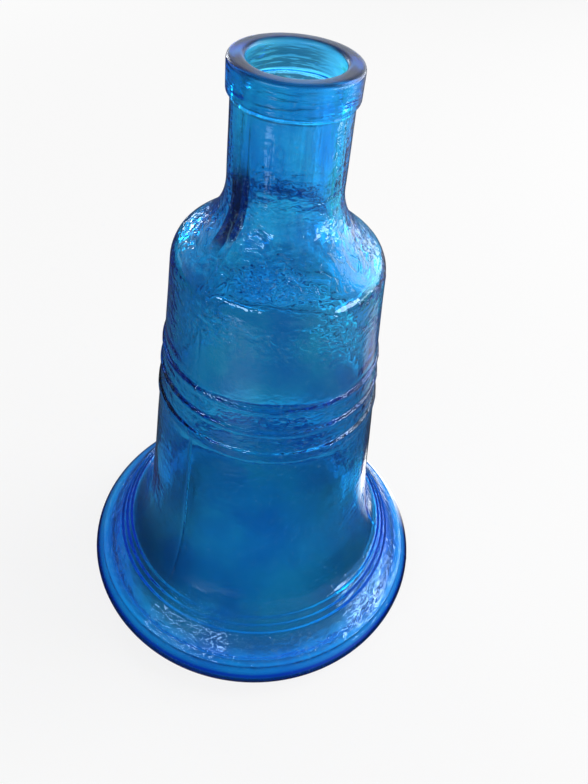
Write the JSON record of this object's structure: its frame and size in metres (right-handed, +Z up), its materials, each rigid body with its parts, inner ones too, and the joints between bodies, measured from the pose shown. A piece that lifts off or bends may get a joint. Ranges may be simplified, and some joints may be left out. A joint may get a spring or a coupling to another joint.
{
  "type": "glass decanter",
  "caption": "Bell-shaped blue glass decanter with a flared foot, raised waist bands, a sloping shoulder and a collared open neck; holds and pours liquid.",
  "frame": {"origin": "centre of the flat ring that the decanter stands on, at table height", "axes": "+Z up along the axis of the bell and the neck; -Y towards the viewer of the picture"},
  "size_m": [0.118, 0.118, 0.18],
  "materials": {
    "blue_glass": "glossy clear blue glass, slightly wavy and pitted from its mould"
  },
  "bodies": {
    "root": {"bell_body": "blue_glass", "lip_ring": "blue_glass"}
  },
  "joints": []
}
